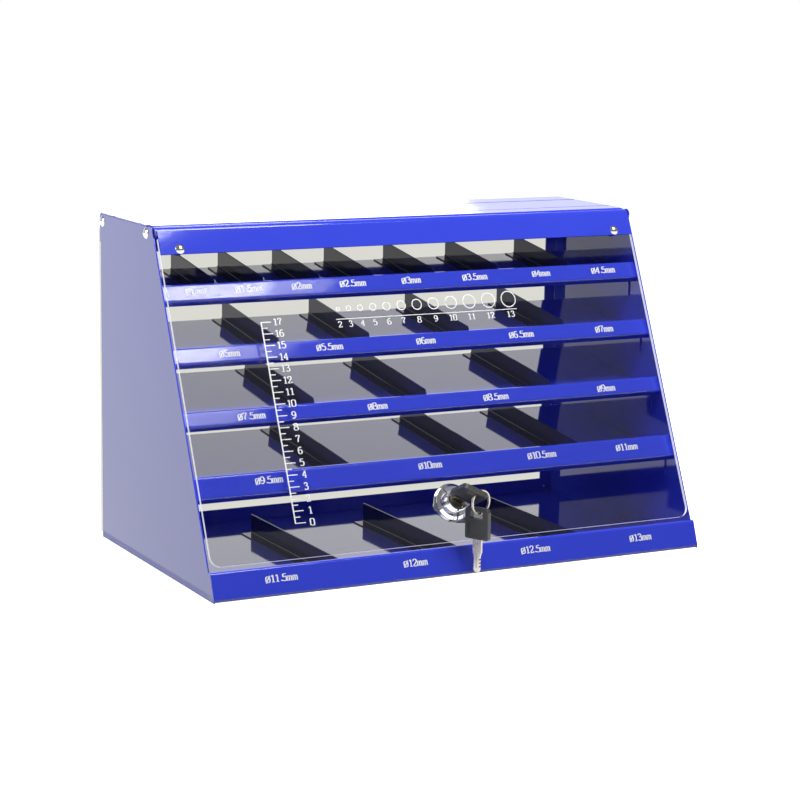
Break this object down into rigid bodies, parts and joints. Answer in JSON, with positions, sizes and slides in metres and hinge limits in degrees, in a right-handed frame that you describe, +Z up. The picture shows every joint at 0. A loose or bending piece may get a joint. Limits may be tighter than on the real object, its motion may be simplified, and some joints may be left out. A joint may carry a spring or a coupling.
{
  "type": "drill bit display stand",
  "caption": "Counter-top sheet steel display stand with sloping divided rows for loose drill bits, a hinged clear front and a cam lock with keys.",
  "frame": {"origin": "centre of the base, on the surface that the stand rests on", "axes": "+X to the right as seen from the front, -Y towards the user, +Z up"},
  "size_m": [0.4644, 0.2741, 0.2862],
  "materials": {
    "blue_enamel": "gloss",
    "clear_plastic": "gloss",
    "bright_chrome": "polished",
    "zinc_steel": "satin",
    "nickel": "satin",
    "brass": "satin",
    "dark_zinc": "satin",
    "black_plastic": "matte",
    "white_print": "gloss"
  },
  "bodies": {
    "housing": {"left_side_panel": "blue_enamel", "right_side_panel": "blue_enamel", "bottom_panel": "blue_enamel", "front_rail": "blue_enamel", "rear_rail": "blue_enamel", "top_panel": "blue_enamel", "tray_1": "blue_enamel", "tray_2": "blue_enamel", "tray_3": "blue_enamel", "tray_4": "blue_enamel", "divider_1_1": "blue_enamel", "divider_1_2": "blue_enamel", "divider_1_3": "blue_enamel", "divider_1_4": "blue_enamel", "divider_1_5": "blue_enamel", "divider_1_6": "blue_enamel", "divider_1_7": "blue_enamel", "divider_2_1": "blue_enamel", "divider_2_2": "blue_enamel", "divider_2_3": "blue_enamel", "divider_2_4": "blue_enamel", "divider_3_1": "blue_enamel", "divider_3_2": "blue_enamel", "divider_3_3": "blue_enamel", "divider_4_1": "blue_enamel", "divider_4_2": "blue_enamel", "divider_4_3": "blue_enamel", "divider_5_1": "blue_enamel", "divider_5_2": "blue_enamel", "divider_5_3": "blue_enamel", "hinge_rod": "zinc_steel", "rail_rivets": "bright_chrome", "post_rivets": "bright_chrome"},
    "lid": {"lid_band": "blue_enamel", "front_pane": "clear_plastic", "band_screws": "bright_chrome", "band_nuts": "bright_chrome", "lock_barrel": "bright_chrome", "lock_ring_nut": "bright_chrome", "lock_washer": "bright_chrome"},
    "lock": {"lock_plug": "brass", "plug_cap": "dark_zinc", "lock_stop_disc": "zinc_steel", "lock_cam": "zinc_steel", "cam_screw": "zinc_steel"},
    "key": {"key_blade": "nickel", "key_head": "black_plastic"},
    "key_ring": {"key_ring": "nickel"},
    "spare_key": {"spare_key_blade": "nickel", "spare_key_head": "black_plastic"}
  },
  "joints": [
    {"name": "lid_hinge", "type": "hinge", "parent": "housing", "child": "lid", "pos_m": [0, 0.00287, 0.28105], "axis": [-1, 0, 0], "range_deg": [0, 155]},
    {"name": "lock_turn", "type": "hinge", "parent": "lid", "child": "lock", "pos_m": [-0.004, -0.09988, 0.0555], "axis": [0, -0.911, 0.4124], "range_deg": [-60, 30]},
    {"name": "key_pull", "type": "slide", "parent": "lock", "child": "key", "axis": [0, -0.911, 0.4124], "range_m": [0, 0.03]},
    {"name": "ring_turn", "type": "hinge", "parent": "key", "child": "key_ring", "pos_m": [0.00369, -0.13861, 0.06416], "axis": [-0.274, 0.9617, 0], "range_deg": [-10, 25]},
    {"name": "spare_key_swing", "type": "hinge", "parent": "key_ring", "child": "spare_key", "pos_m": [0.00369, -0.13861, 0.05446], "axis": [-0.9063, -0.4226, 0], "range_deg": [-3, 10]}
  ]
}
